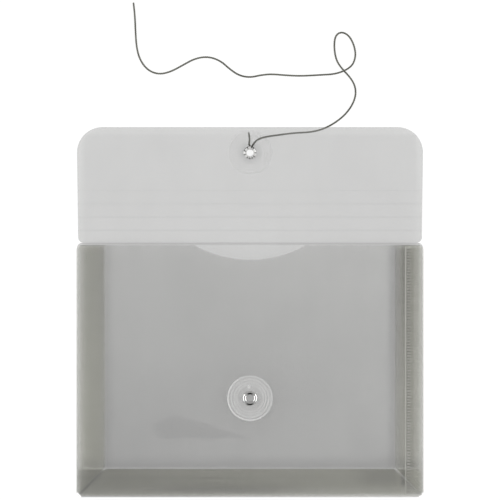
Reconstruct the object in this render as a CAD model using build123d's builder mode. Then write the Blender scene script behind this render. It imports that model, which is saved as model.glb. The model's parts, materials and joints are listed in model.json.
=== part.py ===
from build123d import *
from math import asin, atan2, cos, hypot, pi, radians, sin, tan
import os

# String tie envelope of translucent plastic sheet, lying open on a table. Millimetres.
# +X is to the right, +Y runs from the pocket to the open flap, +Z is up.
# The origin is on the underside of the back panel, at its centre.

# Sheet, die-cut and scored
sheet = 0.5
layer_gap = 0.3
crease_groove = 0.12

# Body with a pocket on inward-folded gussets
body_width = 190.5
body_height = 139.7
body_top_radius = 3.0
body_corner_cut = 1.9
body_corner_radius = 1.9
fold_run_out = 0.5
front_drop = 1.25
notch_width = 61.4
notch_depth = 8.0
notch_shoulder_radius = 4.0
gusset_width = 15.2
gusset_rest_angle = 15.8
crease_clearance = 0.2
mitre_gap = 0.3

# Welded tab down the right side of the front panel
tab_width = 9.7
tab_end_margin = 1.3
tab_corner_radius = 2.0
knurl_from_tab_edge = 2.9
knurl_column_spacing = 2.1
knurl_pitch = 1.6
knurl_length = 1.4
knurl_breadth = 0.8
knurl_depth = 0.15
knurl_end_margin = 3.0

# Flap with four scores that let it wrap over a full pocket
flap_height = 63.6
flap_top_width = 190.5
flap_fold_width = 189.0
flap_top_radius = 13.9
flap_fold_radius = 3.0
first_score = 6.8
score_pitch = 7.3
score_count = 4
floor_clearance = 0.02

# Tie buttons: a disc that turns on a tubular eyelet
body_button_below_fold = 85.3
flap_button_above_fold = 49.5
disc_diameter = 25.0
disc_thickness = 0.8
disc_rim_width = 0.9
disc_rim_rise = 0.15
disc_ring_radii = (6.2, 9.2)
disc_ring_width = 0.5
disc_ring_depth = 0.1
disc_running_clearance = 0.1
eyelet_bore = 3.6
eyelet_barrel = 4.8
eyelet_head = 7.9
eyelet_head_height = 0.5
eyelet_head_bevel = 0.25
eyelet_splay = 6.7
eyelet_splay_height = 0.4
eyelet_lip = 0.2
eyelet_fit = 0.05
splay_slits = 6
splay_slit_width = 0.35

# String
string_diameter = 1.0
string_room = 1.2
string_loop_clearance = 0.1
string_sides = 8
string_stub = 1.3
string_arc_share = 0.45

# Derived places
half_width = body_width / 2
half_height = body_height / 2
front_top = half_height - front_drop
fold_end = front_top - body_top_radius - fold_run_out
fold_radius = sheet + layer_gap / 2
crease_inset = fold_radius + crease_clearance
rest_angle = radians(gusset_rest_angle)
crease_low = sheet + layer_gap + sheet / 2
crease_rise = 2 * gusset_width * sin(rest_angle) + (sheet + layer_gap) * cos(rest_angle)
crease_high = crease_low + crease_rise
front_underside = crease_high + sheet / 2 + layer_gap
front_face = front_underside + sheet
notch_radius = (notch_width**2 / 4 + notch_depth**2) / (2 * notch_depth)
barrel_radius = eyelet_barrel / 2
disc_face = sheet + string_room
disc_back = disc_face + disc_thickness
head_face = disc_back + disc_running_clearance
head_back = head_face + eyelet_head_height


def tilt_to_rest(distance, depth):
    """Angle that lifts a point under the flap, so far from the fold and so deep, onto the table."""
    reach = hypot(distance, depth)
    return atan2(depth, distance) - asin((sheet - floor_clearance) / reach)


# The open flap leans on the button beneath it, by the disc's rim or the eyelet's head
flap_tilt = max(
    tilt_to_rest(flap_button_above_fold - disc_diameter / 2, disc_back + disc_rim_rise),
    tilt_to_rest(flap_button_above_fold - eyelet_head / 2, head_back),
)
flap_plane = Plane(
    origin=(0, half_height, sheet),
    x_dir=(1, 0, 0),
    z_dir=(0, -sin(flap_tilt), cos(flap_tilt)),
)

# Button planes stand on the panel's inner face and point away from the disc
flap_button_plane = Plane(
    origin=flap_plane.from_local_coords((0, flap_button_above_fold, 0)),
    x_dir=(1, 0, 0),
    z_dir=flap_plane.z_dir,
)
body_button_plane = Plane(
    origin=(0, half_height - body_button_below_fold, front_underside),
    x_dir=(1, 0, 0),
    z_dir=(0, 0, -1),
)
buttons = {"body": body_button_plane, "flap": flap_button_plane}

os.makedirs("parts", exist_ok=True)


def finish(builder, name):
    """Label a piece and write it."""
    builder.part.label = name
    export_step(builder.part, f"parts/{name}.step")


def upper_edges_along_x(builder):
    """Edges along X on the upper face of a panel."""
    return builder.faces().sort_by(Axis.Z)[-1].edges().filter_by(Axis.X)


def panel_outline(top):
    """Flat part of a body panel, between the folds at its sides and bottom, and wider above them."""
    width = body_width - 2 * fold_radius
    bottom = -half_height + fold_radius
    with Locations((0, (top + bottom) / 2)):
        Rectangle(width, top - bottom)
    with Locations((0, (top + fold_end) / 2)):
        Rectangle(body_width, top - fold_end)
    low_left, low_right = vertices().group_by(Axis.Y)[0].sort_by(Axis.X)
    chamfer(low_left, body_corner_cut)
    fillet(low_right, body_corner_radius)
    fillet(vertices().group_by(Axis.Y)[-1], body_top_radius)


def edge_folds(fold_height):
    """Half-round folds along the sides and bottom, where the sheet turns towards the gussets."""
    low = -half_height + fold_radius + body_corner_cut
    side_run = fold_end - low
    bottom_run = body_width - 2 * fold_radius - 2 * body_corner_cut
    left_end = Vector(-half_width + fold_radius, low, fold_height)
    right_end = Vector(half_width - fold_radius, low, fold_height)
    bottom_end = Vector(-bottom_run / 2, -half_height + fold_radius, fold_height)
    folds = (
        (left_end, Vector(-1, 0, 0), Vector(0, 1, 0), side_run),
        (right_end, Vector(1, 0, 0), Vector(0, 1, 0), side_run),
        (bottom_end, Vector(0, -1, 0), Vector(1, 0, 0), bottom_run),
    )
    for start, outward, along, run in folds:
        with BuildSketch(Plane(origin=start, x_dir=outward, z_dir=along)) as fold_section:
            Circle(fold_radius)
            Circle(layer_gap / 2, mode=Mode.SUBTRACT)
            with Locations((-fold_radius, 0)):
                Rectangle(2 * fold_radius, 2 * fold_radius, mode=Mode.SUBTRACT)
        extrude(fold_section.sketch, amount=run)


# Back panel
with BuildPart() as back_panel:
    with BuildSketch():
        panel_outline(half_height)
    extrude(amount=sheet)
    chamfer(upper_edges_along_x(back_panel).sort_by(Axis.Y)[-1], crease_groove)
    edge_folds(sheet + layer_gap / 2)
finish(back_panel, "back_panel")

# Front panel with its thumb notch
with BuildPart() as front_panel:
    with BuildSketch(Plane.XY.offset(front_underside)):
        panel_outline(front_top)
        with Locations((0, front_top - notch_depth + notch_radius)):
            Circle(notch_radius, mode=Mode.SUBTRACT)
        shoulders = vertices().group_by(Axis.Y)[-1].sort_by(lambda corner: abs(corner.X))[:2]
        fillet(shoulders, notch_shoulder_radius)
        with Locations((0, half_height - body_button_below_fold)):
            Circle(barrel_radius + eyelet_fit, mode=Mode.SUBTRACT)
    extrude(amount=sheet)
    edge_folds(front_underside - layer_gap / 2)
finish(front_panel, "front_panel")

# Tab of the side seam, welded flat on the front panel by two knurled columns
tab_low = -half_height + fold_radius + tab_end_margin
tab_high = front_top - tab_end_margin
tab_right = half_width - fold_radius
tab_left = tab_right - tab_width
knurl_count = int((tab_high - tab_low - 2 * knurl_end_margin) / knurl_pitch)
with BuildPart() as side_weld_tab:
    with BuildSketch(Plane.XY.offset(front_face)):
        with Locations(((tab_left + tab_right) / 2, (tab_low + tab_high) / 2)):
            Rectangle(tab_width, tab_high - tab_low)
        fillet(vertices().group_by(Axis.X)[-1], tab_corner_radius)
    extrude(amount=sheet)
    with BuildSketch(Plane.XY.offset(front_face + sheet)):
        with Locations((tab_left + knurl_from_tab_edge, (tab_low + tab_high) / 2)):
            with GridLocations(knurl_column_spacing, knurl_pitch, 2, knurl_count):
                Rectangle(knurl_length, knurl_breadth)
    extrude(amount=-knurl_depth, mode=Mode.SUBTRACT)
finish(side_weld_tab, "side_weld_tab")


def gusset_planes(corner, along, inward):
    """Planes of a gusset's two halves, hinged on the back panel's and the front panel's crease."""
    up = Vector(0, 0, 1)
    back_normal = up * cos(rest_angle) - inward * sin(rest_angle)
    front_normal = up * cos(rest_angle) + inward * sin(rest_angle)
    back = Plane(origin=corner + up * crease_low, x_dir=along, z_dir=back_normal)
    front = Plane(origin=corner + up * crease_high, x_dir=along, z_dir=front_normal)
    return {"back": back, "front": front}


# A half starts at the panel's cut corner and runs along the mitre to the ridge
mitred_end = [
    (body_corner_cut, 0),
    ((body_corner_cut + mitre_gap) / 2, (body_corner_cut - mitre_gap) / 2),
    (gusset_width + mitre_gap, gusset_width),
]
crease_x = half_width - crease_inset
crease_y = -half_height + crease_inset
bottom_length = 2 * crease_x
side_length = front_top - crease_y

bottom_planes = gusset_planes(Vector(-crease_x, crease_y, 0), Vector(1, 0, 0), Vector(0, 1, 0))
for half, plane in bottom_planes.items():
    with BuildPart() as bottom_gusset:
        with BuildSketch(plane):
            with BuildLine():
                far_end = [(bottom_length - x, y) for x, y in reversed(mitred_end)]
                Polyline(*mitred_end, *far_end, close=True)
            make_face()
        extrude(amount=sheet / 2, both=True)
    finish(bottom_gusset, f"bottom_gusset_{half}")

right_planes = gusset_planes(Vector(crease_x, crease_y, 0), Vector(0, 1, 0), Vector(-1, 0, 0))
for half, plane in right_planes.items():
    with BuildPart() as right_gusset:
        with BuildSketch(plane):
            with BuildLine():
                Polyline(*mitred_end, (side_length, gusset_width), (side_length, 0), close=True)
            make_face()
        extrude(amount=sheet / 2, both=True)
    finish(right_gusset, f"right_gusset_{half}")
    with BuildPart() as left_gusset:
        mirror(right_gusset.part, about=Plane.YZ)
    finish(left_gusset, f"left_gusset_{half}")


def flap_half_width(distance):
    """Half the flap's width at a distance from the fold."""
    return (flap_fold_width + (flap_top_width - flap_fold_width) * distance / flap_height) / 2


# Flap, in strips between the fold and the four scores, and the panel beyond them
scores = [first_score + score_pitch * number for number in range(score_count)]
strip_edges = [0, *scores, flap_height]
for number, (near, far) in enumerate(zip(strip_edges, strip_edges[1:]), start=1):
    with BuildPart() as flap_piece:
        with BuildSketch(flap_plane):
            near_half = flap_half_width(near)
            far_half = flap_half_width(far)
            with BuildLine():
                Polyline(
                    (-near_half, near), (near_half, near), (far_half, far), (-far_half, far), close=True
                )
            make_face()
            if near == 0:
                fillet(vertices().group_by(Axis.Y)[0], flap_fold_radius)
            if far == flap_height:
                fillet(vertices().group_by(Axis.Y)[-1], flap_top_radius)
                with Locations((0, flap_button_above_fold)):
                    Circle(barrel_radius + eyelet_fit, mode=Mode.SUBTRACT)
        extrude(amount=-sheet)
        creases = upper_edges_along_x(flap_piece).sort_by(Axis.Y)
        chamfer(creases[:1] if far == flap_height else creases, crease_groove)
    finish(flap_piece, "flap_panel" if far == flap_height else f"flap_strip_{number}")

# Eyelets: a rolled head over the disc, a barrel and a splayed, slit end on the panel's other face
for place, plane in buttons.items():
    section = Plane(origin=plane.origin, x_dir=plane.x_dir, z_dir=-plane.y_dir)
    with BuildPart() as eyelet:
        with BuildSketch(section):
            with BuildLine():
                Polyline(
                    (eyelet_bore / 2, eyelet_splay_height - eyelet_lip),
                    (eyelet_bore / 2 + eyelet_lip, eyelet_splay_height),
                    (eyelet_splay / 2 - eyelet_lip, eyelet_splay_height - eyelet_lip / 2),
                    (eyelet_splay / 2, 0),
                    (barrel_radius, 0),
                    (barrel_radius, -head_face),
                    (eyelet_head / 2, -head_face),
                    (eyelet_head / 2, -head_back),
                    (eyelet_bore / 2, -head_back),
                    close=True,
                )
            make_face()
            chamfer(vertices().group_by(Axis.Y)[0], eyelet_head_bevel)
        revolve(axis=Axis(plane.origin, plane.z_dir))
        with BuildSketch(plane):
            with PolarLocations((eyelet_splay + eyelet_barrel) / 4, splay_slits):
                Rectangle((eyelet_splay - eyelet_barrel) / 2, splay_slit_width)
        extrude(amount=eyelet_splay_height, mode=Mode.SUBTRACT)
    finish(eyelet, f"{place}_eyelet")

# Discs, with a raised rim and two shallow rings
for place, plane in buttons.items():
    section = Plane(origin=plane.origin, x_dir=plane.x_dir, z_dir=-plane.y_dir)
    disc_bore_radius = barrel_radius + disc_running_clearance
    rim_start = disc_diameter / 2 - disc_rim_width
    with BuildPart() as disc:
        with BuildSketch(section):
            with BuildLine():
                Polyline(
                    (disc_bore_radius, -disc_face),
                    (disc_diameter / 2, -disc_face),
                    (disc_diameter / 2, -disc_back),
                    (disc_diameter / 2 - disc_rim_rise, -disc_back - disc_rim_rise),
                    (rim_start + disc_rim_rise, -disc_back - disc_rim_rise),
                    (rim_start, -disc_back),
                    (disc_bore_radius, -disc_back),
                    close=True,
                )
            make_face()
            with Locations(*[(radius, -disc_back) for radius in disc_ring_radii]):
                Rectangle(disc_ring_width, 2 * disc_ring_depth, mode=Mode.SUBTRACT)
        revolve(axis=Axis(plane.origin, plane.z_dir))
    finish(disc, f"{place}_button_disc")

# String: hitched round the flap eyelet's barrel, between flap and disc, and laid out on the table
string_radius = string_diameter / 2
string_plane = flap_button_plane.offset(-sheet - string_room / 2)
loop_radius = barrel_radius + string_radius + string_loop_clearance


def under_flap(x, y):
    """Point between flap and disc, from the eyelet's centre."""
    return string_plane.from_local_coords((x, y, 0))


string_route = [
    under_flap(1.3, 3.8),
    under_flap(2.7, 6.1),
    under_flap(5.1, 7.7),
    under_flap(8.0, 8.6),
    under_flap(11.6, 9.2),
    (16.0, 129.1, 2.3),
    (24.2, 130.2, 1.3),
    (33.2, 130.6, 0.7),
    (39.6, 132.1, 0.55),
    (46.1, 135.3, 0.55),
    (52.5, 140.3, 0.55),
    (57.0, 146.7, 0.55),
    (58.5, 153.2, 0.55),
    (56.4, 159.4, 0.55),
    (49.0, 167.2, 0.55),
    (46.8, 172.4, 0.55),
    (46.2, 179.4, 0.55),
    (47.2, 184.1, 0.55),
    (50.5, 185.9, 0.55),
    (54.7, 183.6, 0.55),
    (57.5, 177.8, 0.55),
    (58.2, 171.9, 0.8),
    (55.8, 166.3, 1.85),
    (47.8, 162.6, 1.85),
    (38.4, 162.1, 0.6),
    (28.0, 161.5, 0.55),
    (19.7, 161.9, 0.55),
    (11.7, 162.6, 0.55),
    (5.9, 162.0, 0.55),
    (0.1, 160.7, 0.55),
    (-5.8, 161.7, 0.55),
    (-10.9, 165.1, 0.55),
    (-16.2, 169.9, 0.55),
    (-23.1, 172.3, 0.55),
    (-30.4, 171.1, 0.55),
    (-36.9, 167.5, 0.55),
    (-43.7, 163.8, 0.55),
    (-50.0, 162.4, 0.55),
    (-55.8, 164.4, 0.55),
    (-60.2, 169.6, 0.55),
    (-62.4, 176.9, 0.55),
    (-63.0, 186.8, 0.55),
    (-63.3, 195.1, 0.55),
    (-64.1, 201.9, 0.55),
]


def largest_arcs(points):
    """Radius of each corner of a route, as large as the two runs beside it allow."""
    radii = []
    for before, corner, after in zip(points, points[1:], points[2:]):
        run_in = Vector(corner) - Vector(before)
        run_out = Vector(after) - Vector(corner)
        half_turn = radians(run_in.get_angle(run_out)) / 2
        radii.append(string_arc_share * min(run_in.length, run_out.length) / tan(half_turn))
    return radii


string_radii = largest_arcs(string_route)
with BuildPart() as string:
    with BuildLine() as string_path:
        FilletPolyline(*string_route, radius=string_radii)
    with BuildSketch(Plane(origin=string_path.line @ 0, z_dir=string_path.line % 0)):
        RegularPolygon(string_radius, string_sides)
    sweep()
finish(string, "string")

# Hitch and short tail, with a stub that meets the free string face to face
tail_route = [(-0.4, loop_radius), (-0.5, 4.9), (-0.1, 8.1), (-0.8, 11.2)]
string_start = string_path.line @ 0
string_heading = string_path.line % 0
with BuildPart() as string_loop:
    with BuildSketch(Plane(origin=string_start, z_dir=-string_heading)):
        RegularPolygon(string_radius, string_sides)
    extrude(amount=string_stub)
    with BuildLine(string_plane) as tail_path:
        FilletPolyline(*tail_route, radius=largest_arcs(tail_route))
    with BuildSketch(Plane(origin=tail_path.line @ 0, z_dir=tail_path.line % 0)):
        RegularPolygon(string_radius, string_sides)
    sweep(path=tail_path.line)
    with BuildSketch(Plane(origin=string_plane.origin, x_dir=(1, 0, 0), z_dir=-string_plane.y_dir)):
        with Locations((loop_radius, 0)):
            RegularPolygon(string_radius, string_sides)
    revolve(axis=Axis(string_plane.origin, string_plane.z_dir))
finish(string_loop, "string_loop")

string_length = string_path.wire().length
section_area = string_sides / 2 * string_radius**2 * sin(2 * pi / string_sides)
tube_volume = section_area * string_length
print("flap tilt, degrees:", round(flap_tilt * 180 / pi, 4))
print("gusset creases at:", round(crease_low, 4), round(crease_high, 4))
print("front panel from", round(front_underside, 4), "to", round(front_face, 4))
print("string length:", round(string_length, 2))
print("string radii:", [round(radius, 1) for radius in string_radii])
print("string volume:", round(string.part.volume, 3), "section times length:", round(tube_volume, 3))
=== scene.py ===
import json
from functools import reduce
from math import cos, pi, sin, sqrt

import bpy
from mathutils import Matrix, Vector


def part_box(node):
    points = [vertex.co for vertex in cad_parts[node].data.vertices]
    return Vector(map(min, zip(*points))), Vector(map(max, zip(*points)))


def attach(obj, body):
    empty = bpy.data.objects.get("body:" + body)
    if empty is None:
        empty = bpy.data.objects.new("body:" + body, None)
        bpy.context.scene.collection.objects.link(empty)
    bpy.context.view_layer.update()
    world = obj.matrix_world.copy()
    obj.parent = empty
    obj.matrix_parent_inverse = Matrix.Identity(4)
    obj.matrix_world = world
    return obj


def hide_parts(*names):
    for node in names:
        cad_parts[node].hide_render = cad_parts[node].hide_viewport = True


# String tie envelope of translucent plastic, in metres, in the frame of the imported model.
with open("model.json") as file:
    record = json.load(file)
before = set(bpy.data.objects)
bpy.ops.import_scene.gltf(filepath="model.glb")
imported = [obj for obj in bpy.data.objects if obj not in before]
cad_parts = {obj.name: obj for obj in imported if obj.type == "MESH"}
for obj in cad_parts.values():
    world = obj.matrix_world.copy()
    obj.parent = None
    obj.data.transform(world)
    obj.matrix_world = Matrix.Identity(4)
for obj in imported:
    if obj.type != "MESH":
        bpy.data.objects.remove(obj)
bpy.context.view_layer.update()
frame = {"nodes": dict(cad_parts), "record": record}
nodes = frame["nodes"]
joints = {joint["name"]: joint for joint in frame["record"]["behaviour"]["joints"]}
MM = 0.001

# Places and sizes that the looks are worked out from
back_low, back_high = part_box("back_panel")
front_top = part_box("front_panel")[1][1]
tab_low, tab_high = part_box("side_weld_tab")
ridge_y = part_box("bottom_gusset_front")[1][1]
flap_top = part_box("flap_panel")[1][1]
half_width = back_high[0]
bottom_y = back_low[1]
fold_y = back_high[1]
ridge_x = half_width - (ridge_y - bottom_y)
cut_x = tab_low[0]
tab_middle_y = (tab_low[1] + tab_high[1]) / 2
notch_width = 61.4 * MM
notch_depth = 8.0 * MM
notch_radius = (notch_width**2 / 4 + notch_depth**2) / (2 * notch_depth)
notch_centre_y = front_top - notch_depth + notch_radius
knurl_columns = [cut_x + distance * MM for distance in (1.95, 4.05)]
knurl_half_pitch = 0.8 * MM
body_button_y = joints["body_button_spin"]["pos_m"][1]
flap_button_y = joints["flap_button_spin"]["pos_m"][1]

# Score lines of the flap: distance from the fold and half width in millimetres, and depth of shade
flap_scores = (
    (6.79, 0.1, 0.34),
    (14.08, 0.1, 0.32),
    (21.36, 0.3, 0.2),
    (28.65, 0.1, 0.16),
)

# Camera straight above the envelope
photo_width = 274.8 * MM
photo_centre_y = fold_y - 4.0 * MM
photo_plane_z = 3.0 * MM
camera_height = 5.0
sensor_width = 36.0

# Table, side lights and surround
floor_half = 3.0
floor_drop = 0.05 * MM
floor_glow = 0.85
light_out = 1.0
light_height = 1.0
light_length = 1.2
light_breadth = 0.4
light_power = 9.8
surround_strength = 0.5
gap_strength = 0.02
sheet_crossings = 48

# Sheets: colours, opacity of each surface and how white a fold has gone
SHEET_GREY = (0.236, 0.236, 0.228)
GUSSET_GREY = (0.25, 0.25, 0.206)
OLIVE_GREY = (0.236, 0.236, 0.2, 1)
SHEET_WHITE = (0.86, 0.86, 0.84, 1)
SHEET_ALPHA = 0.284
BACK_ALPHA = 0.292
MOUTH_ALPHA = 0.36
SIDE_ALPHA = 0.17
BOTTOM_ALPHA = 0.206
TAB_ALPHA = 0.03
FOLD_WHITENESS = 0.42
PLASTIC_IOR = 1.49

# Half of the middle part over which the left look turns into the right look
BLEND_X = 50 * MM

# String: the route that the solid follows, in millimetres, from the eyelet to the free end
string_diameter = 1.0 * MM
string_route = [
    (1.3, 123.12, 2.52),
    (2.7, 125.42, 2.66),
    (5.1, 127.02, 2.75),
    (8.0, 127.92, 2.80),
    (11.6, 128.51, 2.84),
    (16.0, 129.1, 2.3),
    (24.2, 130.2, 1.3),
    (33.2, 130.6, 0.7),
    (39.6, 132.1, 0.55),
    (46.1, 135.3, 0.55),
    (52.5, 140.3, 0.55),
    (57.0, 146.7, 0.55),
    (58.5, 153.2, 0.55),
    (56.4, 159.4, 0.55),
    (49.0, 167.2, 0.55),
    (46.8, 172.4, 0.55),
    (46.2, 179.4, 0.55),
    (47.2, 184.1, 0.55),
    (50.5, 185.9, 0.55),
    (54.7, 183.6, 0.55),
    (57.5, 177.8, 0.55),
    (58.2, 171.9, 0.8),
    (55.8, 166.3, 1.85),
    (47.8, 162.6, 1.85),
    (38.4, 162.1, 0.6),
    (28.0, 161.5, 0.55),
    (19.7, 161.9, 0.55),
    (11.7, 162.6, 0.55),
    (5.9, 162.0, 0.55),
    (0.1, 160.7, 0.55),
    (-5.8, 161.7, 0.55),
    (-10.9, 165.1, 0.55),
    (-16.2, 169.9, 0.55),
    (-23.1, 172.3, 0.55),
    (-30.4, 171.1, 0.55),
    (-36.9, 167.5, 0.55),
    (-43.7, 163.8, 0.55),
    (-50.0, 162.4, 0.55),
    (-55.8, 164.4, 0.55),
    (-60.2, 169.6, 0.55),
    (-62.4, 176.9, 0.55),
    (-63.0, 186.8, 0.55),
    (-63.3, 195.1, 0.55),
    (-64.1, 201.9, 0.55),
]

# Hitch round the eyelet's barrel and its short tail, in the eyelet's own axes
hitch_route = [
    (1.3, 3.8, -1.1),
    (0.75, 3.05, -1.15),
    (-0.6, 2.95, -1.2),
    (-2.2, 2.3, -1.2),
    (-3.1, 0.5, -1.1),
    (-2.7, -1.6, -1.1),
    (-1.1, -2.95, -1.1),
    (1.1, -2.95, -1.1),
    (2.7, -1.6, -1.1),
    (3.05, 0.5, -1.05),
    (2.2, 2.35, -1.0),
    (0.7, 3.15, -1.0),
    (-0.35, 3.9, -1.05),
    (-0.5, 4.9, -1.1),
    (-0.1, 8.1, -1.1),
    (-0.8, 11.2, -1.1),
]


def add_object(name, data):
    """A new object in the scene."""
    made = bpy.data.objects.new(name, data)
    bpy.context.scene.collection.objects.link(made)
    return made


def add_camera():
    """Camera straight above the envelope, as in the photograph."""
    data = bpy.data.cameras.new("camera")
    data.sensor_width = sensor_width
    data.lens = sensor_width * (camera_height - photo_plane_z) / photo_width
    camera = add_object("camera", data)
    camera.location = (0, photo_centre_y, camera_height)
    bpy.context.scene.camera = camera


# String


def spline_line(points):
    """Points read from a smooth spline with these control points."""
    data = bpy.data.curves.new("route", "CURVE")
    data.dimensions = "3D"
    spline = data.splines.new("NURBS")
    spline.points.add(len(points) - 1)
    for control, point in zip(spline.points, points):
        control.co = (*point, 1)
    spline.order_u = 3
    spline.use_endpoint_u = True
    spline.resolution_u = 24
    route = bpy.data.objects.new("route", data)
    mesh = bpy.data.meshes.new_from_object(route)
    line = [vertex.co.copy() for vertex in mesh.vertices]
    bpy.data.meshes.remove(mesh)
    bpy.data.objects.remove(route)
    bpy.data.curves.remove(data)
    return line


def twisted_cord(name, line, plies=3, sides=7, lay_length=3.4 * MM):
    """Twisted plies along a line, with closed ends."""
    ply_radius = 0.29 * string_diameter
    ply_offset = 0.25 * string_diameter
    heading = (line[1] - line[0]).normalized()
    across = heading.orthogonal().normalized()
    travelled = 0.0
    rings = [[] for _ in range(plies)]
    for index, point in enumerate(line):
        if index:
            travelled += (point - line[index - 1]).length
        ahead = line[min(index + 1, len(line) - 1)] - line[max(index - 1, 0)]
        heading = ahead.normalized()
        across = (across - heading * across.dot(heading)).normalized()
        beside = heading.cross(across)
        for ply in range(plies):
            turn = 2 * pi * (travelled / lay_length + ply / plies)
            outward = across * cos(turn) + beside * sin(turn)
            tangent = heading.cross(outward)
            centre = point + outward * ply_offset
            ring = []
            for side in range(sides):
                angle = 2 * pi * side / sides
                ring.append(centre + (outward * cos(angle) + tangent * sin(angle)) * ply_radius)
            rings[ply].append(ring)
    vertices = []
    faces = []
    for ply in rings:
        start = len(vertices)
        for ring in ply:
            vertices.extend(ring)
        for row in range(len(ply) - 1):
            for side in range(sides):
                a = start + row * sides + side
                b = start + row * sides + (side + 1) % sides
                faces.append((a, b, b + sides, a + sides))
        last = start + (len(ply) - 1) * sides
        faces.append(tuple(start + side for side in reversed(range(sides))))
        faces.append(tuple(last + side for side in range(sides)))
    mesh = bpy.data.meshes.new(name)
    mesh.from_pydata(vertices, [], faces)
    mesh.shade_smooth()
    return add_object(name, mesh)


# Tie buttons: profiles in millimetres, in the button's own axes

# Petals of a splayed eyelet: where each ends, as a share of the turn, its reach, lift and twist
petals = (
    (0.15, 1.10, 0.03, 0.20),
    (0.21, 0.90, 0.10, -0.20),
    (0.32, 1.15, 0.00, 0.25),
    (0.445, 1.00, 0.06, -0.15),
    (0.555, 1.20, 0.02, 0.10),
    (0.67, 1.05, 0.08, 0.20),
    (0.74, 1.15, 0.00, -0.20),
    (0.815, 0.95, 0.10, 0.15),
    (0.88, 1.10, 0.04, -0.20),
    (1.0, 1.15, 0.02, 0.20),
)
petal_root = 2.1
petal_length = 1.25
slit_half = 0.005
slit_flare = 0.016
root_ripple = 0.1

# Splayed end before it is torn: radius and height
splay_line = ((2.45, 0.42), (2.75, 0.38), (3.0, 0.29), (3.2, 0.16), (3.35, 0.0))
shoulder_radius = 3.0
barrel_radius = 2.4
head_under = -2.6

# Disc: rounded edge, raised rim, and grooves on the outer face as radius, depth and half width
disc_edge = 12.28
disc_corner = 0.22
disc_rim, disc_rim_height, disc_rim_half = 12.05, 0.15, 0.42
disc_inside = 2.62
disc_face = -2.5
disc_steps = 96
disc_grooves = ((9.2, 0.1, 0.32), (7.7, 0.03, 0.4), (6.2, 0.1, 0.32), (4.9, 0.03, 0.4))


def button_axes(joint, facing):
    """Axes of a tie button: origin on the panel's inner face, Z away from the disc."""
    upward = Vector(joint["axis"]) * facing
    beside = Vector((1, 0, 0))
    forward = upward.cross(beside)
    turned = Matrix((beside, forward, upward)).transposed().to_4x4()
    return Matrix.Translation(joint["pos_m"]) @ turned


def splayed(turn, radius, height):
    """A point of the splayed end, drawn in at the slits and bent unevenly."""
    start = 0.0
    for end, reach, lift, twist in petals:
        if turn < end:
            break
        start = end
    if radius <= petal_root:
        return radius + root_ripple * sin(6 * pi * turn + 0.6), height
    from_slit = min(turn - start, end - turn)
    open_share = sqrt(min(1.0, max(0.0, (from_slit - slit_half) / slit_flare)))
    share = (turn - start) / (end - start)
    beyond = radius - petal_root
    bend = (lift + twist * (share - 0.5)) * beyond / petal_length * open_share
    return petal_root + beyond * reach * open_share, max(height + bend, 0.0)


def lathe(name, profile, axes, turns=180):
    """A turned form from a closed profile of radius, height and whether a point is splayed."""
    vertices = []
    faces = []
    torn = []
    count = len(profile)
    for step in range(turns):
        angle = 2 * pi * step / turns
        for radius, height, opens in profile:
            if opens:
                radius, height = splayed(step / turns, radius, height)
            point = Vector((radius * cos(angle), radius * sin(angle), height))
            vertices.append(axes @ (point * MM))
        here = step * count
        after = (step + 1) % turns * count
        for place in range(count):
            ahead = (place + 1) % count
            faces.append((here + place, here + ahead, after + ahead, after + place))
            torn.append(profile[place][2] and profile[ahead][2])
    mesh = bpy.data.meshes.new(name)
    mesh.from_pydata(vertices, [], faces)
    mesh.polygons.foreach_set("material_index", torn)
    mesh.shade_smooth()
    mesh.set_sharp_from_angle(angle=0.5)
    return add_object(name, mesh)


def arc(centre, radii, start, end, steps, opens=False):
    """Points along an elliptical arc of a profile, with angles in half turns."""
    points = []
    for step in range(steps + 1):
        angle = pi * (start + (end - start) * step / steps)
        radius = centre[0] + radii[0] * cos(angle)
        points.append((radius, centre[1] + radii[1] * sin(angle), opens))
    return points


def eyelet_profile(bore_radius, head_radius):
    """Rolled head, bore, splayed end and barrel."""
    head = arc((shoulder_radius, head_under), (head_radius - shoulder_radius, 0.5), 0, -0.5, 12)
    head += arc((shoulder_radius, -2.4), (shoulder_radius - bore_radius, 0.7), -0.53, -1, 14)
    bore = [(bore_radius, -1.0, False), (bore_radius, -0.2, False)]
    lip = arc((bore_radius + 0.3, 0.1), (0.3, 0.3), 1, 0.5, 5, opens=True)
    splay = [(radius, height, True) for radius, height in splay_line]
    barrel = [
        (shoulder_radius, 0.0, True),
        (barrel_radius, 0.0, False),
        (barrel_radius, head_under, False),
    ]
    return head + bore + lip + splay + barrel


def disc_profile():
    """Disc with a rounded raised rim and shallow rings on its outer face."""
    corner = (disc_corner, disc_corner)
    outer_edge = arc((disc_edge, -1.92), corner, 0.5, 0, 4)
    outer_edge += arc((disc_edge, -2.43), corner, 0, -0.5, 4)
    face = []
    for step in range(1, disc_steps + 1):
        radius = disc_edge - (disc_edge - disc_inside) * step / disc_steps
        rise = disc_rim_height / (1 + ((radius - disc_rim) / disc_rim_half) ** 6)
        for groove, depth, width in disc_grooves:
            rise -= depth / (1 + ((radius - groove) / width) ** 4)
        face.append((radius, disc_face - rise, False))
    bore = [(2.5, -2.4, False), (2.5, -1.8, False), (2.6, -1.7, False)]
    return outer_edge + face + bore


# Materials


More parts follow.
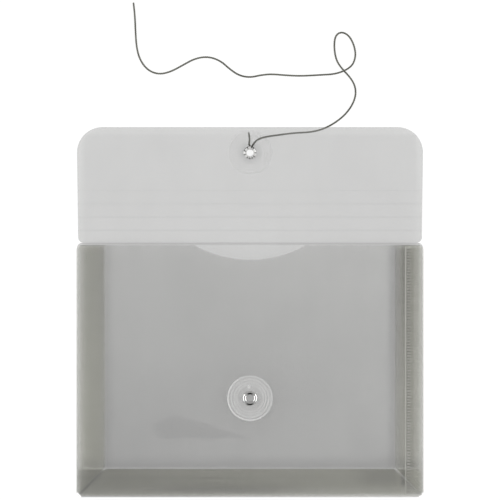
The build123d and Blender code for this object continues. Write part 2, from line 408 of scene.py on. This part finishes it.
class Graph:
    """A node tree and the nodes added to it."""

    def __init__(self, tree):
        self.tree = tree
        self.coords = tree.nodes.new("ShaderNodeTexCoord")

    def feed(self, socket, value):
        """Set a socket to a value, or link it to another socket."""
        if isinstance(value, bpy.types.NodeSocket):
            self.tree.links.new(value, socket)
        else:
            socket.default_value = value

    def node(self, kind, inputs=(), **settings):
        """A node with its settings and inputs, by name or number."""
        made = self.tree.nodes.new(kind)
        for key, value in settings.items():
            setattr(made, key, value)
        for key, value in dict(inputs).items():
            self.feed(made.inputs[key], value)
        return made

    def math(self, operation, *values, clamp=False):
        """Result of a math node."""
        inputs = enumerate(values)
        return self.node("ShaderNodeMath", inputs, operation=operation, use_clamp=clamp).outputs[0]

    def product(self, *values):
        """Values multiplied together."""
        return reduce(lambda first, second: self.math("MULTIPLY", first, second), values)

    def largest(self, *values):
        """The largest of the values."""
        return reduce(lambda first, second: self.math("MAXIMUM", first, second), values)

    def ramp(self, value, start, end, low=0.0, high=1.0):
        """A smooth step from one value to another."""
        span = {"From Min": start, "From Max": end, "To Min": low, "To Max": high}
        inputs = {"Value": value, **span}
        made = self.node("ShaderNodeMapRange", inputs, interpolation_type="SMOOTHSTEP")
        return made.outputs["Result"]

    def line(self, value, centre, half, soft):
        """1 on a line at a value, 0 beyond its half width and soft edge."""
        away = self.math("ABSOLUTE", self.math("SUBTRACT", value, centre))
        return self.ramp(away, half + soft, half)

    def split(self, kind):
        """X, Y and Z of a kind of coordinates."""
        return self.node("ShaderNodeSeparateXYZ", {"Vector": self.coords.outputs[kind]}).outputs


class Finish(Graph):
    """A principled material and the nodes that feed it."""

    def __init__(self, name, **values):
        self.material = bpy.data.materials.new(name)
        self.material.use_nodes = True
        super().__init__(self.material.node_tree)
        self.shader = self.tree.nodes["Principled BSDF"]
        for key, value in values.items():
            self.feed(self.shader.inputs[key.replace("_", " ")], value)

    def place(self):
        """X, Y and Z on the piece, in metres at rest."""
        return self.split("Object")

    def distance(self, centre_x, centre_y):
        """Distance from a point, seen from above."""
        x, y, _ = self.place()
        along = self.math("SUBTRACT", x, centre_x)
        rise = self.math("SUBTRACT", y, centre_y)
        squares = self.math("ADD", self.product(along, along), self.product(rise, rise))
        return self.math("SQRT", squares)

    def from_side(self):
        """Distance in from the nearer side edge."""
        x, _, _ = self.place()
        return self.math("SUBTRACT", half_width, self.math("ABSOLUTE", x))

    def left_right(self, left, right):
        """A value that changes from the left half to the right half."""
        x, _, _ = self.place()
        return self.ramp(x, -BLEND_X, BLEND_X, left, right)

    def up_pocket(self, low, high):
        """A value that changes from the bottom ridge to the pocket's mouth."""
        _, y, _ = self.place()
        return self.ramp(y, ridge_y, front_top, low, high)

    def noise(self, scale, detail=2.0, stretch=(1, 1, 1), distortion=0.0):
        """Noise over the piece, in features per metre."""
        place = {"Vector": self.coords.outputs["Object"], "Scale": stretch}
        scaled = self.node("ShaderNodeMapping", place).outputs[0]
        inputs = {"Vector": scaled, "Scale": scale, "Detail": detail, "Distortion": distortion}
        return self.node("ShaderNodeTexNoise", inputs).outputs["Fac"]

    def mix(self, factor, first, second):
        """A blend of two colours."""
        inputs = {0: factor, 6: first, 7: second}
        return self.node("ShaderNodeMix", inputs, data_type="RGBA").outputs[2]

    def mix_value(self, factor, first, second):
        """A blend of two numbers."""
        inputs = {0: factor, 2: first, 3: second}
        return self.node("ShaderNodeMix", inputs, data_type="FLOAT").outputs[0]

    def scale_colour(self, colour, factor):
        """A colour times a number."""
        inputs = {0: colour, "Scale": factor}
        return self.node("ShaderNodeVectorMath", inputs, operation="SCALE").outputs[0]

    def bump(self, height, strength, depth):
        """Relief from a height."""
        inputs = {"Height": height, "Strength": strength, "Distance": depth}
        self.feed(self.shader.inputs["Normal"], self.node("ShaderNodeBump", inputs).outputs[0])

    def colour(self, socket):
        """Link the base colour."""
        self.feed(self.shader.inputs["Base Color"], socket)

    def paint(self, grey, shade, white):
        """Link the base colour to a shaded grey that has gone white in places."""
        self.colour(self.mix(white, self.scale_colour(grey, shade), SHEET_WHITE))

    def roughness(self, socket):
        """Link the roughness."""
        self.feed(self.shader.inputs["Roughness"], socket)

    def alpha(self, socket):
        """Link the opacity."""
        self.feed(self.shader.inputs["Alpha"], socket)


def put(obj, *materials):
    """Materials of an object, in the order of its faces' indices."""
    if obj.data.materials:
        obj.data.materials.clear()
    for material in materials:
        obj.data.materials.append(material)


def sheet_finish(name, alpha, grey=SHEET_GREY):
    """Translucent plastic with a fine matt grain. Returns it with its uneven grey."""
    finish = Finish(name, Alpha=alpha, IOR=PLASTIC_IOR)
    cloud = finish.noise(16, 3.0, distortion=0.6)
    streaks = finish.noise(130, 3.0, (1, 0.35, 1))
    fine = finish.noise(1500, 2.0)
    shade = 0.6
    for texture, weight in ((cloud, 0.4), (streaks, 0.3), (fine, 0.1)):
        shade = finish.math("MULTIPLY_ADD", texture, weight, shade)
    finish.roughness(finish.math("MULTIPLY_ADD", finish.noise(900, 3.0), 0.16, 0.30))
    finish.bump(fine, 0.12, 0.03 * MM)
    return finish, finish.scale_colour(grey, shade)


def side_whitening(finish):
    """How far the folded side edges have gone white, from 0 to 1, less below the ridge."""
    _, y, _ = finish.place()
    distance = finish.from_side()
    wide = finish.ramp(distance, 6.5 * MM, 2.0 * MM, 0.0, 0.45 * FOLD_WHITENESS)
    narrow = finish.ramp(distance, 3.2 * MM, 1.2 * MM, 0.0, 0.55 * FOLD_WHITENESS)
    fade = finish.ramp(y, ridge_y - 2 * MM, ridge_y + 2 * MM, 0.25, 1.0)
    return finish.math("MULTIPLY_ADD", wide, fade, narrow)


def bottom_whitening(finish):
    """How far the folded bottom edge has gone white, from 0 to 1, less on the left."""
    x, y, _ = finish.place()
    distance = finish.math("SUBTRACT", y, bottom_y)
    wide = finish.ramp(distance, 7.0 * MM, 2.0 * MM, 0.0, 0.2 * FOLD_WHITENESS)
    narrow = finish.ramp(distance, 2.6 * MM, 0.7 * MM, 0.0, 0.62 * FOLD_WHITENESS)
    along = finish.ramp(x, -60 * MM, 85 * MM, 0.75, 1.3)
    return finish.product(finish.math("ADD", wide, narrow), along)


def back_material():
    """Back panel: the flap's fold line, a denser mouth and a painted shade spot under the body's
    eyelet.
    """
    finish, grey = sheet_finish("sheet_back", BACK_ALPHA)
    _, y, _ = finish.place()
    fold_line = finish.ramp(y, fold_y - 0.5 * MM, fold_y - 0.2 * MM, 1.0, 0.6)
    finish.paint(grey, fold_line, finish.largest(side_whitening(finish), bottom_whitening(finish)))
    mouth = finish.ramp(y, front_top - 0.2 * MM, front_top + 0.1 * MM, BACK_ALPHA, MOUTH_ALPHA)
    # Denser sheet under the body's eyelet: painted shade where the eyelet and disc block the light
    painted_shade_spot = finish.ramp(finish.distance(0.0, body_button_y), 2.9 * MM, 2.2 * MM, 0.0, 0.15)
    finish.alpha(finish.math("ADD", mouth, painted_shade_spot))
    return finish.material


def mitre_marks(finish):
    """1 on the folded left corner, where the gussets meet, and less at the right one."""
    x, y, _ = finish.place()
    from_bottom = finish.math("SUBTRACT", y, bottom_y)
    across = finish.math("ABSOLUTE", finish.math("SUBTRACT", finish.from_side(), from_bottom))
    right_part = finish.ramp(x, ridge_x, ridge_x + 7 * MM, 0.3, 0.62)
    return finish.product(
        finish.ramp(across, 0.9 * MM, 0.45 * MM),
        finish.ramp(y, ridge_y, ridge_y - 1.5 * MM),
        finish.largest(right_part, finish.math("LESS_THAN", x, 0.0)),
    )


def contact_patch(finish):
    """1 where the front panel lies on the back panel, a flat wedge low on the left."""
    x, y, _ = finish.place()
    peak_x, slope = -40.3 * MM, 0.3
    fall = finish.product(finish.math("ABSOLUTE", finish.math("SUBTRACT", x, peak_x)), slope)
    wave = finish.math("MULTIPLY_ADD", finish.noise(110, 3.0), 4 * MM, -26.6 * MM)
    under = finish.math("SUBTRACT", finish.math("SUBTRACT", wave, fall), y)
    left_end = finish.math("MULTIPLY_ADD", y, 0.7, x)
    return finish.product(
        finish.ramp(under, 0.0, 0.9 * MM),
        finish.ramp(y, -38.4 * MM, -36.8 * MM),
        finish.ramp(left_end, -77 * MM, -74.5 * MM),
    )


def front_shade(finish, mitres):
    """How light the front panel's grey is: painted shade by the gussets and the button, darker by
    the tab's cut edge and folds.
    """
    x, y, _ = finish.place()
    across = finish.math("ABSOLUTE", x)
    above_ridge = finish.ramp(y, ridge_y - 1 * MM, ridge_y + 1 * MM)
    # Painted shade on the panel beside the side gusset ridges, where the gussets shade it
    painted_side_shade = finish.product(
        finish.ramp(across, ridge_x - 6 * MM, ridge_x),
        finish.ramp(across, ridge_x + 6 * MM, ridge_x),
        above_ridge,
    )
    side_depth = finish.left_right(0.34, finish.up_pocket(0.42, 0.72))
    by_cut = finish.product(
        finish.ramp(x, cut_x - 3.5 * MM, cut_x - 0.5 * MM),
        finish.math("LESS_THAN", x, cut_x),
    )
    upper_depth = finish.ramp(y, ridge_y + 15 * MM, front_top, 0.0, 0.45)
    lower_depth = finish.ramp(y, bottom_y + 5 * MM, bottom_y + 8 * MM, 0.0, 0.75)
    cut_depth = finish.mix_value(above_ridge, lower_depth, upper_depth)
    # Painted shade on the panel just above the bottom gusset ridge
    painted_bottom_shade = finish.product(
        finish.ramp(y, ridge_y + 9 * MM, ridge_y + 0.5 * MM),
        finish.math("GREATER_THAN", y, ridge_y),
    )
    # Painted shadow in a soft ring round the body's button
    painted_button_shadow = finish.ramp(finish.distance(0.0, body_button_y), 25 * MM, 14 * MM)
    crease = finish.line(y, ridge_y - 4.9 * MM, 0.15 * MM, 0.3 * MM)
    crease_depth = finish.ramp(x, -30 * MM, 40 * MM, 0.5, 0.15)
    low_right = finish.product(
        finish.ramp(x, 50 * MM, 70 * MM),
        finish.ramp(x, cut_x - 2.5 * MM, cut_x - 6 * MM),
        finish.ramp(y, ridge_y - 12 * MM, ridge_y - 5 * MM),
        finish.ramp(y, ridge_y, ridge_y - 1 * MM),
    )
    low_middle = finish.product(
        finish.ramp(x, -75 * MM, -25 * MM),
        finish.ramp(x, 50 * MM, -10 * MM),
        finish.ramp(y, bottom_y + 1.5 * MM, bottom_y + 3.5 * MM),
        finish.ramp(y, bottom_y + 10 * MM, bottom_y + 4 * MM),
    )
    band_top = finish.product(
        finish.math("GREATER_THAN", across, ridge_x),
        finish.ramp(y, front_top - 0.6 * MM, front_top - 0.3 * MM),
    )
    left_edge = finish.product(
        finish.ramp(y, bottom_y + 0.8 * MM, bottom_y + 0.4 * MM),
        finish.ramp(x, 0.0, -60 * MM),
    )
    level, lighter_right, lighter_up = 1.22, 2.0, 4.0
    shade = finish.math("MULTIPLY_ADD", y, lighter_up, level)
    shade = finish.math("MULTIPLY_ADD", x, lighter_right, shade)
    for mark, depth in (
        (painted_side_shade, side_depth),
        (by_cut, cut_depth),
        (painted_bottom_shade, 0.5),
        (painted_button_shadow, 0.1),
        (contact_patch(finish), 0.28),
        (mitres, 0.7),
        (crease, crease_depth),
        (low_right, 0.34),
        (low_middle, 0.4),
        (band_top, 0.8),
        (left_edge, 0.7),
    ):
        shade = finish.product(shade, finish.math("SUBTRACT", 1.0, finish.product(mark, depth)))
    return shade


def front_material():
    """Front panel: white folds, painted highlights on its cut edges, soft painted shade and greener
    grey over the gussets.
    """
    finish, grey = sheet_finish("sheet_front", SHEET_ALPHA)
    x, y, _ = finish.place()
    mitres = mitre_marks(finish)
    from_notch = finish.math("SUBTRACT", finish.distance(0.0, notch_centre_y), notch_radius)
    white = finish.largest(
        side_whitening(finish),
        bottom_whitening(finish),
        # The notch's edge and the top edge are painted lighter: painted highlights where the cut
        # edges catch the light
        finish.ramp(from_notch, 0.7 * MM, 0.3 * MM, 0.0, 0.25),
        finish.ramp(y, front_top - 0.6 * MM, front_top - 0.3 * MM, 0.0, 0.15),
        finish.product(finish.line(y, ridge_y + 0.5 * MM, 0.2 * MM, 0.25 * MM), 0.3),
    )
    olive = finish.largest(
        finish.ramp(finish.math("ABSOLUTE", x), ridge_x - 3 * MM, ridge_x + 2 * MM),
        finish.ramp(y, ridge_y + 1 * MM, ridge_y - 1 * MM),
    )
    finish.paint(finish.mix(olive, grey, OLIVE_GREY), front_shade(finish, mitres), white)
    clearer_up = finish.math("MULTIPLY_ADD", y, -0.31, SHEET_ALPHA)
    finish.alpha(finish.math("MULTIPLY_ADD", mitres, 0.21, clearer_up))
    return finish.material


def side_gusset_material():
    """Side gusset half: pale with a light ridge on the left, thin at the right ridge and top."""
    finish, grey = sheet_finish("sheet_side_gusset", SIDE_ALPHA, GUSSET_GREY)
    x, y, _ = finish.place()
    from_ridge = finish.math("SUBTRACT", finish.math("ABSOLUTE", x), ridge_x)
    left_shade = finish.ramp(y, ridge_y - 1 * MM, ridge_y, 0.95, finish.up_pocket(2.6, 0.8))
    shade = finish.product(
        finish.left_right(left_shade, finish.up_pocket(1.6, 0.9)),
        finish.ramp(from_ridge, 0.0, 9 * MM, 1.15, 0.85),
    )
    ridge_line = finish.product(
        finish.ramp(from_ridge, 1.1 * MM, 0.6 * MM),
        finish.left_right(0.6, 0.0),
    )
    finish.paint(grey, shade, finish.largest(side_whitening(finish), ridge_line))
    thin = finish.left_right(0.85 * SIDE_ALPHA, 0.35 * SIDE_ALPHA)
    right_full = finish.up_pocket(1.1 * SIDE_ALPHA, 1.55 * SIDE_ALPHA)
    full = finish.left_right(1.1 * SIDE_ALPHA, right_full)
    alpha = finish.product(
        finish.ramp(from_ridge, 0.0, 6 * MM, thin, full),
        finish.ramp(y, front_top - 1.9 * MM, front_top - 1.2 * MM, 1.0, 0.6),
    )
    finish.alpha(finish.ramp(y, ridge_y, ridge_y - 1 * MM, alpha, 1.33 * BOTTOM_ALPHA))
    return finish.material


def bottom_gusset_material():
    """Bottom gusset half, white at its fold and darker at its left end."""
    finish, grey = sheet_finish("sheet_bottom_gusset", BOTTOM_ALPHA, GUSSET_GREY)
    x, _, _ = finish.place()
    shade = finish.ramp(x, -80 * MM, 80 * MM, 0.9, 1.1)
    finish.paint(grey, shade, bottom_whitening(finish))
    finish.alpha(finish.ramp(x, -75 * MM, -45 * MM, 1.08 * BOTTOM_ALPHA, BOTTOM_ALPHA))
    return finish.material


def tab_material():
    """Welded tab: painted highlight on the cut edge, white outer edge and two knurled columns, the
    inner clearer.
    """
    finish, grey = sheet_finish("sheet_tab", TAB_ALPHA, GUSSET_GREY)
    x, y, _ = finish.place()
    cut_line = finish.line(x, cut_x + 0.45 * MM, 0.2 * MM, 0.15 * MM)
    row = finish.math("PINGPONG", finish.math("SUBTRACT", y, tab_middle_y), knurl_half_pitch)
    clear, faint = [finish.line(x, centre, 0.7 * MM, 0.3 * MM) for centre in knurl_columns]
    column = finish.math("MULTIPLY_ADD", faint, 0.16, clear, clamp=True)
    # The knurl's pits are painted darker and more opaque as painted shade, its raised rows lighter
    # as painted highlight
    pitted = finish.product(column, finish.ramp(row, 0.25 * MM, 0.55 * MM))
    raised = finish.math("SUBTRACT", column, pitted)
    # Painted highlight along the cut edge
    painted_cut_highlight = finish.product(cut_line, finish.ramp(y, ridge_y - 1 * MM, ridge_y, 0.65, 0.9))
    light = finish.largest(painted_cut_highlight, finish.product(raised, 0.9))
    white = finish.math("ADD", side_whitening(finish), light, clamp=True)
    finish.paint(grey, finish.math("MULTIPLY_ADD", pitted, -0.75, 1.0), white)
    full_y = ridge_y + 70 * MM
    pit_alpha = finish.product(pitted, finish.ramp(y, ridge_y, full_y, 0.24, 0.42))
    raised_alpha = finish.product(
        raised,
        finish.ramp(y, ridge_y, full_y, 0.16, 0.1),
        finish.ramp(y, ridge_y - 1.5 * MM, ridge_y + 0.5 * MM, 0.4, 1.0),
    )
    cut_alpha = finish.math("MULTIPLY_ADD", cut_line, 0.2, TAB_ALPHA)
    finish.alpha(finish.math("ADD", finish.math("ADD", pit_alpha, raised_alpha), cut_alpha))
    return finish.material


def flap_material():
    """Flap: paler by its cut edges, darker at its scores, fold, top edge and eyelet."""
    finish, grey = sheet_finish("sheet_flap", SHEET_ALPHA)
    _, y, _ = finish.place()
    to_top = finish.math("SUBTRACT", flap_top, y)
    to_edge = finish.math("MINIMUM", finish.from_side(), to_top)
    dark = finish.largest(
        finish.ramp(y, fold_y + 0.4 * MM, fold_y + 0.1 * MM, 0.0, 0.6),
        finish.ramp(finish.distance(0.0, flap_button_y), 7.5 * MM, 3.2 * MM, 0.0, 0.75),
        finish.ramp(to_top, 0.7 * MM, 0.3 * MM, 0.0, 0.45),
    )
    for distance, half, depth in flap_scores:
        score = finish.line(y, fold_y + distance * MM, half * MM, 0.4 * MM)
        dark = finish.largest(dark, finish.product(score, depth))
    white = finish.ramp(to_edge, 5 * MM, 3 * MM, 0.0, 0.1)
    finish.paint(grey, finish.math("SUBTRACT", 1.0, dark), white)
    return finish.material


def disc_material(name, centre_y, alpha, frost_and_rim_alpha):
    """Moulded disc of clear plastic with a rim painted lighter as a painted highlight, faint rings
    and a gate mark.
    """
    finish = Finish(name, IOR=PLASTIC_IOR)
    x, y, _ = finish.place()
    radius = finish.distance(0.0, centre_y)
    slant = finish.math("MULTIPLY_ADD", finish.math("SUBTRACT", y, centre_y), 0.6, x)
    # The rim is painted lighter, more on one side: a painted highlight where the rounded rim
    # catches the light
    rim = finish.product(
        finish.ramp(radius, 11.5 * MM, 11.9 * MM),
        finish.ramp(slant, -9 * MM, 9 * MM, 1.0, 0.5),
    )
    gate = finish.ramp(finish.distance(-0.6 * MM, centre_y + 6.2 * MM), 1.2 * MM, 0.5 * MM)
    rings = [finish.line(radius, at * MM, 0.2 * MM, 0.35 * MM) for at in (7.3, 8.7, 10.3)]
    ringed = finish.product(finish.largest(*rings), 0.6)
    hub = finish.ramp(radius, 7.0 * MM, 4.5 * MM, 0.0, 0.14)
    frost_and_rim_highlight = finish.largest(rim, gate, ringed, hub)
    finish.alpha(finish.math("MULTIPLY_ADD", frost_and_rim_highlight, frost_and_rim_alpha, alpha))
    grain = finish.noise(900, 2.0)
    tone = finish.math("MULTIPLY_ADD", grain, 0.08, 0.9)
    finish.colour(finish.scale_colour((0.92, 0.92, 0.91), tone))
    finish.roughness(finish.math("MULTIPLY_ADD", finish.noise(500, 2.0), 0.12, 0.22))
    finish.bump(grain, 0.06, 0.02 * MM)
    return finish.material


def eyelet_material(name, roughness, metallic, bright):
    """Bright plated metal, lightly scuffed, or dull where it is torn."""
    finish = Finish(name, Metallic=metallic)
    scuff = finish.noise(2600, 3.0, (1, 1, 0.3))
    tone = finish.ramp(scuff, 0.3, 0.7, 0.85 * bright, bright)
    finish.colour(finish.scale_colour((1.0, 0.995, 0.98), tone))
    finish.roughness(finish.math("MULTIPLY_ADD", scuff, 0.1, roughness))
    finish.bump(scuff, 0.04, 0.02 * MM)
    return finish.material


def string_material():
    """Waxed twisted thread with lighter and darker fibres."""
    dark, pale = (0.07, 0.07, 0.058, 1), (0.21, 0.21, 0.175, 1)
    finish = Finish("string_thread", Roughness=0.85)
    fibre = finish.noise(3200, 4.0)
    cloud = finish.noise(120, 2.0)
    light = finish.math("ADD", finish.product(fibre, 0.7), finish.product(cloud, 0.3))
    finish.colour(finish.mix(finish.ramp(light, 0.3, 0.7), dark, pale))
    finish.bump(fibre, 0.5, 0.06 * MM)
    return finish.material


# Stage


def add_floor():
    """Plain white table."""
    mesh = bpy.data.meshes.new("floor")
    corners = [(x * floor_half, y * floor_half, 0) for x, y in ((-1, -1), (1, -1), (1, 1), (-1, 1))]
    mesh.from_pydata(corners, [], [(0, 1, 2, 3)])
    floor = add_object("floor", mesh)
    floor.location = (0, 0, -floor_drop)
    white = Finish(
        "floor_white",
        Base_Color=(0.2, 0.2, 0.2, 1),
        Roughness=0.9,
        Emission_Color=(1, 1, 1, 1),
        Emission_Strength=floor_glow,
    )
    put(floor, white.material)


def add_side_lights():
    """Long soft lights from both sides, as on a copy stand."""
    target = Vector((0, photo_centre_y, 0))
    for side in (-1, 1):
        data = bpy.data.lights.new(f"side_light_{side}", "AREA")
        data.shape = "RECTANGLE"
        data.size = light_length
        data.size_y = light_breadth
        data.energy = light_power
        light = add_object(f"side_light_{side}", data)
        light.location = (side * light_out, photo_centre_y, light_height)
        light.rotation_euler = (target - light.location).to_track_quat("-Z", "Y").to_euler()


def add_surround():
    """Grey surround with a dark gap in front, and how the picture is developed."""
    scene = bpy.context.scene
    world = bpy.data.worlds.new("studio")
    scene.world = world
    world.use_nodes = True
    sky = Graph(world.node_tree)
    x, y, _ = sky.split("Generated")
    squares = sky.math("ADD", sky.product(x, x), sky.product(y, y))
    heading = sky.math("DIVIDE", y, sky.math("SQRT", sky.math("ADD", squares, 0.0001)))
    background = world.node_tree.nodes["Background"]
    sky.feed(background.inputs["Color"], (1, 1, 1, 1))
    strength = sky.ramp(heading, -0.8, -0.95, surround_strength, gap_strength)
    sky.feed(background.inputs["Strength"], strength)
    scene.view_settings.view_transform = "Standard"
    scene.cycles.transparent_max_bounces = sheet_crossings


add_camera()

flap_axes = button_axes(joints["flap_button_spin"], 1)
body_axes = button_axes(joints["body_button_spin"], -1)

string_line = spline_line([[value * MM for value in point] for point in string_route])
string = twisted_cord("string_cord", string_line)
hitch_line = spline_line([flap_axes @ (Vector(point) * MM) for point in hitch_route])
hitch = twisted_cord("string_hitch", hitch_line)
string_thread = string_material()
for piece, node in ((string, "string"), (hitch, "string_loop")):
    put(piece, string_thread)
    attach(piece, "flap")
    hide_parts(node)

# Tie buttons: bodies of the panel and the disc, radii of the eyelet's bore and head in
# millimetres, the disc's opacity and what its frost and painted rim highlight add to that
metal = eyelet_material("eyelet_metal", 0.03, 1.0, 0.72)
torn_metal = eyelet_material("eyelet_splay", 0.4, 0.5, 0.74)
buttons = (
    ("body", body_axes, "front", "body_disc", 2.02, 3.95, 0.084, 0.25),
    ("flap", flap_axes, "flap", "flap_disc", 1.8, 3.45, 0.045, -0.035),
)
for button, axes, panel_body, disc_body, bore_radius, head_radius, alpha, frost_and_rim_alpha in buttons:
    eyelet = lathe(f"{button}_rivet", eyelet_profile(bore_radius, head_radius), axes)
    put(eyelet, metal, torn_metal)
    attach(eyelet, panel_body)
    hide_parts(f"{button}_eyelet")
    disc = lathe(f"{button}_disc_moulding", disc_profile(), axes)
    put(disc, disc_material(f"disc_{button}", axes.translation.y, alpha, frost_and_rim_alpha))
    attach(disc, disc_body)
    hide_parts(f"{button}_button_disc")

side_gusset = side_gusset_material()
bottom_gusset = bottom_gusset_material()
flap_sheet = flap_material()
put(nodes["back_panel"], back_material())
put(nodes["front_panel"], front_material())
put(nodes["side_weld_tab"], tab_material())
for name, obj in nodes.items():
    if name.startswith("flap_strip") or name == "flap_panel":
        put(obj, flap_sheet)
    elif name.startswith("bottom_gusset"):
        put(obj, bottom_gusset)
    elif "gusset" in name:
        put(obj, side_gusset)

add_floor()
add_side_lights()
add_surround()
